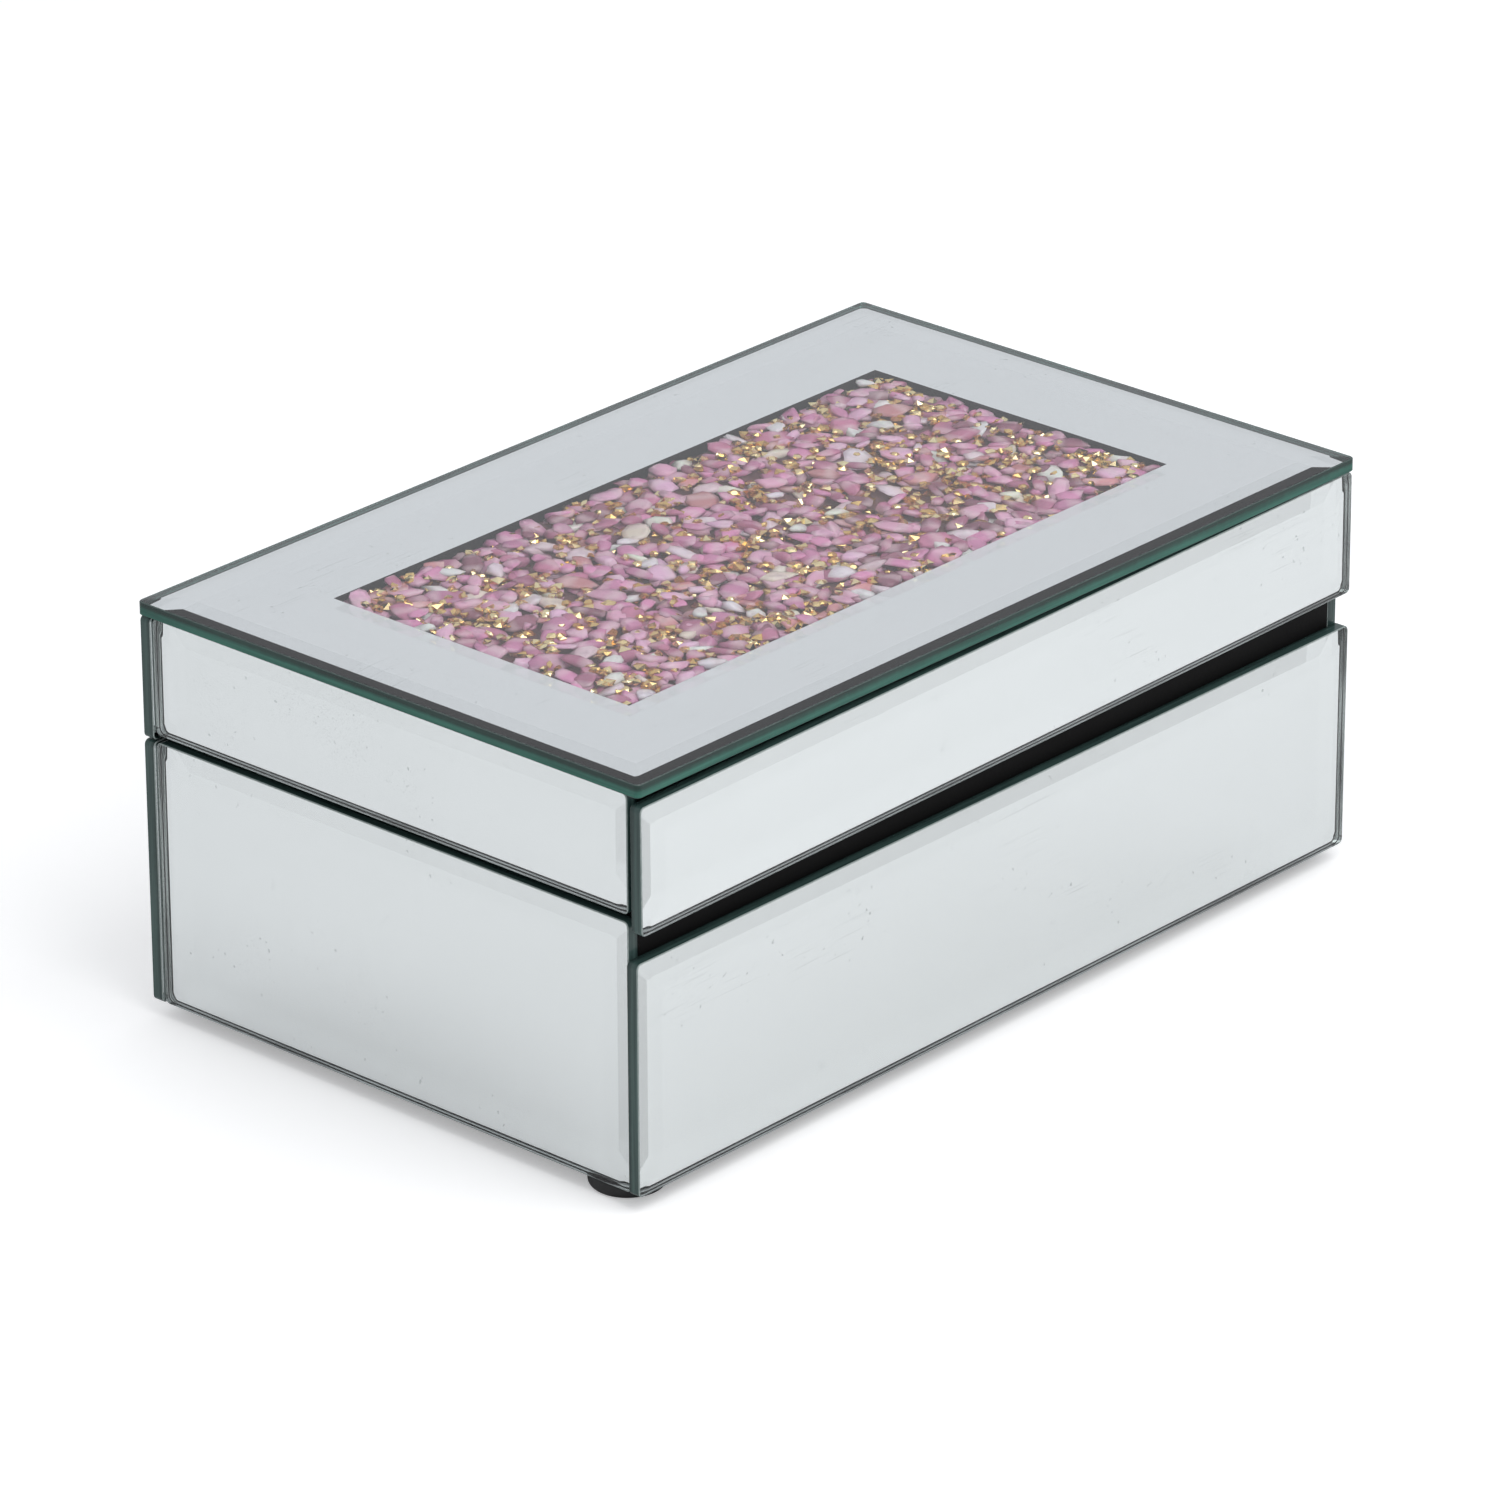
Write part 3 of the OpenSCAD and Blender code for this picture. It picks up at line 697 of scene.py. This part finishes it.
# ---- Chips and crystals ----
# Loose tumbled stone chips, mauve to cream, and small gold pointed-back crystals, poured together
# into the tray so that they lie as they fell.
bed_low, bed_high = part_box("stone_chips")
glass_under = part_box("lid_plate")[0].z
random = np.random.default_rng(11)
chip_count, crystal_count = 2000, 3000
chip_settle, crystal_settle, pressed_settle = 0.6, 0.45, 0.2
bearing_share, rest_share = 0.8, 0.75
packed_h = 4.6 * mm
headroom = 0.3 * mm
edge_pull = 0.9
cell = 0.5 * mm
bed_middle = np.array([(bed_low.x + bed_high.x) / 2, (bed_low.y + bed_high.y) / 2])
bed_half = np.array([(bed_high.x - bed_low.x) / 2, (bed_high.y - bed_low.y) / 2])
grid_size = np.ceil(2 * bed_half / cell).astype(int) + 1
cell_x, cell_y = np.meshgrid(
    np.linspace(-bed_half[0], bed_half[0], grid_size[0]),
    np.linspace(-bed_half[1], bed_half[1], grid_size[1]), indexing="ij",
)
pile_top = np.full(cell_x.shape, bed_low.z + packed_h)


def drop(x, y, reach, thick, settle):
    """Drops a piece of a reach and half thickness on the pile at (x, y). It comes to rest at the
    level that a share, settle, of what lies under it is below, and the pile then has its domed
    top there. Returns the height of its middle, or None if it would touch the glass."""
    lowest = np.floor((np.array([x, y]) - reach + bed_half) / cell).astype(int).clip(0)
    highest = np.ceil((np.array([x, y]) + reach + bed_half) / cell).astype(int) + 1
    patch = slice(lowest[0], highest[0]), slice(lowest[1], highest[1])
    apart = np.hypot(cell_x[patch] - x, cell_y[patch] - y) / reach
    level = np.quantile(pile_top[patch][apart < bearing_share], settle)
    middle = level + rest_share * thick
    if middle + thick > glass_under - headroom:
        return None
    dome = middle + thick * np.sqrt(np.clip(1 - apart**2, 0, 1))
    pile_top[patch] = np.where(apart < 1, np.maximum(pile_top[patch], dome), pile_top[patch])
    return middle


def turns(yaw, tilt, towards):
    """Rotation matrices: a turn about Z by yaw, then a tilt about the level line at towards."""
    c, s, zero, one = np.cos(yaw), np.sin(yaw), np.zeros_like(yaw), np.ones_like(yaw)
    flat = np.stack([c, -s, zero, s, c, zero, zero, zero, one], -1).reshape(-1, 3, 3)
    ax, ay = np.cos(towards), np.sin(towards)
    c, s = np.cos(tilt), np.sin(tilt)
    across = ax * ay * (1 - c)
    rows = [
        c + ax * ax * (1 - c), across, ay * s, across, c + ay * ay * (1 - c), -ax * s,
        -ay * s, ax * s, c,
    ]
    return np.stack(rows, -1).reshape(-1, 3, 3) @ flat


# Each piece's sizes and turns are drawn first, then all are dropped in a mixed order, more of
# them towards the walls than in the middle. Crystals slip further into the hollows than chips. A
# piece that would touch the glass is pressed in between its neighbours, or left out.
chip_half = np.empty((chip_count, 3))
chip_half[:, 0] = random.triangular(2.4, 4.4, 6.8, chip_count) * mm
chip_half[:, 1] = chip_half[:, 0] * random.uniform(0.45, 0.8, chip_count)
chip_half[:, 2] = random.uniform(0.9, 1.7, chip_count) * mm
chip_turn = turns(
    random.uniform(0, 2 * np.pi, chip_count), np.abs(random.normal(0, 0.38, chip_count)),
    random.uniform(0, 2 * np.pi, chip_count),
)
crystal_r = random.triangular(0.9, 1.65, 2.3, crystal_count) * mm
crystal_turn = turns(
    random.uniform(0, 2 * np.pi, crystal_count), random.uniform(0, np.pi, crystal_count),
    random.uniform(0, 2 * np.pi, crystal_count),
)
order = random.permutation(chip_count + crystal_count)
chip_at, crystal_at = {}, {}
for number in order:
    is_chip = number < chip_count
    i = number if is_chip else number - chip_count
    reach = math.sqrt(chip_half[i, 0] * chip_half[i, 1]) if is_chip else crystal_r[i]
    thick = chip_half[i, 2] if is_chip else 0.55 * crystal_r[i]
    keep_off = 0.3 * chip_half[i, 0] if is_chip else crystal_r[i]
    spread = np.sin(random.uniform(-1, 1, 2) * edge_pull) / math.sin(edge_pull)
    x, y = spread * (bed_half - keep_off)
    settle = chip_settle if is_chip else crystal_settle
    z = drop(x, y, reach, thick, settle) or drop(x, y, reach, thick, pressed_settle)
    if z is not None:
        (chip_at if is_chip else crystal_at)[i] = (x + bed_middle[0], y + bed_middle[1], z)


def chip_shapes(kept):
    """Unit chips: a sphere of 5 rings and 8 columns with its poles, flattened above and below,
    and cut by seven random planes, to which the points outside are drawn back."""
    ring = np.linspace(0, np.pi, 7)
    column = np.linspace(0, 2 * np.pi, 9)[:-1]
    x = np.outer(np.sin(ring), np.cos(column))
    y = np.outer(np.sin(ring), np.sin(column))
    z = np.outer(np.cos(ring), np.ones(8))
    unit = np.stack([x, y, z], -1).reshape(-1, 3)
    points = np.repeat(unit[None], kept, 0)
    points[..., 2] = np.tanh(1.8 * points[..., 2]) / np.tanh(1.8)
    for cut in range(7):
        heading = random.uniform(0, 2 * np.pi, kept)
        slope = random.normal(0, 0.35, kept)
        level = np.cos(slope)
        normal = np.stack([np.cos(heading) * level, np.sin(heading) * level, np.sin(slope)], -1)
        limit = random.uniform(0.45, 0.9, kept)
        over = np.einsum("cpk,ck->cp", points, normal) - limit[:, None]
        points -= np.clip(over, 0, None)[..., None] * normal[:, None]
    return points


def in_the_bed(sized, turn, places):
    """Turns the points of every piece and carries them to its place, and holds them in the tray."""
    points = np.einsum("cij,cpj->cpi", turn, sized) + np.array(places)[:, None]
    return points.clip((*bed_low.xy, bed_low.z + skin), (*bed_high.xy, glass_under - skin))


def many(name, shapes, faces, material, tints, own, smooth):
    """One piece of many like stones. Each has its colour in the attribute tint, and its points'
    places in its own frame in the attribute own, for patterns that turn with it."""
    count, size = shapes.shape[:2]
    faces = (faces[None] + np.arange(count)[:, None, None] * size).reshape(-1, faces.shape[1])
    mesh = new_mesh(name, shapes, faces, [material], smooth)
    colour = mesh.attributes.new("tint", "FLOAT_COLOR", "POINT")
    colour.data.foreach_set("color", np.repeat(tints, size, 0).astype(np.float32).ravel())
    local = mesh.attributes.new("own", "FLOAT_VECTOR", "POINT")
    local.data.foreach_set("vector", own.reshape(-1, 3).astype(np.float32).ravel())
    return new_piece(mesh, 1e-8)


# Stone: banded across each chip, a little translucent, with a tumbled polish.
chip_stone, tree, shader = new_material("chip_stone", {
    "Subsurface Weight": 0.25, "Subsurface Radius": (1.6 * mm, 1.0 * mm, 1.4 * mm),
    "Specular IOR Level": 0.55,
})
tint = add(tree, "ShaderNodeAttribute", attribute_name="tint").outputs["Color"]
own = add(tree, "ShaderNodeAttribute", attribute_name="own").outputs["Vector"]
band = add(
    tree, "ShaderNodeTexWave",
    {"Vector": own, "Scale": 42.0, "Distortion": 3.5, "Detail": 3.0, "Detail Scale": 1.2},
).outputs["Fac"]
vein = noise(tree, own, 260.0, 4.0, Roughness=0.55)
pale = remap(tree, band, (0.35, 1.0), (0.0, 0.42))
dark = remap(tree, vein, (0.5, 0.75), (0.0, 0.35))
banded = blend(tree, pale, tint, (0.74, 0.59, 0.63, 1))
feed(tree, shader, {
    "Base Color": blend(tree, dark, banded, (0.20, 0.07, 0.15, 1)),
    "Roughness": remap(tree, vein, to=(0.08, 0.32)),
    "Normal": bump(tree, vein, 0.12, 0.2 * mm),
})

stone_tones = np.array([
    (0.43, 0.165, 0.295, 1), (0.33, 0.115, 0.195, 1), (0.51, 0.26, 0.375, 1),
    (0.18, 0.065, 0.10, 1), (0.58, 0.43, 0.49, 1), (0.64, 0.54, 0.48, 1), (0.40, 0.17, 0.19, 1),
])
stone_shares = [0.25, 0.20, 0.22, 0.09, 0.09, 0.07, 0.08]
# The packed layer's colour is painted shade for the deep gaps between the chips.
packed_shade_tone = (0.23, 0.11, 0.12, 1)
skin = 0.1 * mm

kept = sorted(chip_at)
sized = chip_shapes(len(kept)) * chip_half[kept][:, None]
placed = in_the_bed(sized, chip_turn[kept], [chip_at[number] for number in kept])
tones = stone_tones[random.choice(len(stone_tones), len(kept), p=stone_shares)]
tones[:, :3] = np.minimum(tones[:, :3] * random.uniform(1.15, 1.75, (len(kept), 1)), 0.75)
shift = random.uniform(0, 1, (len(kept), 1, 3))
wrap = np.arange(6) * 8
seam_faces = np.stack([wrap + 7, wrap, wrap + 8, wrap + 15], 1)
chip_faces = np.concatenate([grid_faces(7, 8), seam_faces])[:, ::-1]
chips = many("chip_bed", placed, chip_faces, chip_stone, tones, sized + shift, True)

# Under the chips that show, the rest of the bed is one packed layer, in painted shade darker than
# the stones.
work = bmesh.new()
work.from_mesh(chips.data)
tint_layer = work.verts.layers.float_color["tint"]
made = [
    work.verts.new((x, y, z)) for z in (bed_low.z, bed_low.z + packed_h)
    for y in (bed_low.y, bed_high.y) for x in (bed_low.x, bed_high.x)
]
for vertex in made:
    vertex[tint_layer] = packed_shade_tone
for face in ((0, 2, 3, 1), (4, 5, 7, 6), (0, 1, 5, 4), (1, 3, 7, 5), (3, 2, 6, 7), (2, 0, 4, 6)):
    work.faces.new([made[k] for k in face])
work.to_mesh(chips.data)
work.free()
standing(chips, "stone_chips", "lid")

# Gold crystals: metallised facets, each stone its own shade from pale to deep gold.
crystal_gold, tree, shader = new_material("crystal_gold", {"Metallic": 1.0})
tint = add(tree, "ShaderNodeAttribute", attribute_name="tint").outputs["Color"]
own = add(tree, "ShaderNodeAttribute", attribute_name="own").outputs["Vector"]
rubbed = remap(tree, noise(tree, own, 900.0, 2.0), to=(0.08, 0.3))
feed(tree, shader, {"Base Color": tint, "Roughness": rubbed})

# A crystal is six-sided: a flat table, a belt of kites round it, and a point behind.
table_r, table_z = 0.5, 0.38
deep_gold, pale_gold = np.array([[0.80, 0.50, 0.17]]), np.array([[1.0, 0.86, 0.52]])
k, n = np.arange(6), (np.arange(6) + 1) % 6
angle = k * np.pi / 3
table_x, table_y = table_r * np.cos(angle + np.pi / 6), table_r * np.sin(angle + np.pi / 6)
table = np.stack([table_x, table_y, np.full(6, table_z)], 1)
girdle = np.stack([np.cos(angle), np.sin(angle), np.zeros(6)], 1)
culet = np.tile([[0.0, 0.0, -1.0]], (6, 1))
table_middle = np.tile([[0.0, 0.0, table_z]], (6, 1))
crystal_unit = np.concatenate([table, girdle, culet, table_middle])
crystal_faces = np.concatenate([
    np.stack([18 + k, k, n], 1), np.stack([6 + n, n, k], 1), np.stack([6 + k, 6 + n, k], 1),
    np.stack([12 + k, 6 + n, 6 + k], 1),
])
kept = sorted(crystal_at)
sized = crystal_unit * crystal_r[kept][:, None, None]
placed = in_the_bed(sized, crystal_turn[kept], [crystal_at[number] for number in kept])
shade = random.uniform(0, 1, (len(kept), 1))
golds = (1 - shade) * deep_gold + shade * pale_gold
golds = np.concatenate([golds, np.ones((len(kept), 1))], 1)
crystals = many("crystal_scatter", placed, crystal_faces, crystal_gold, golds, sized, False)
standing(crystals, "gold_crystals", "lid")
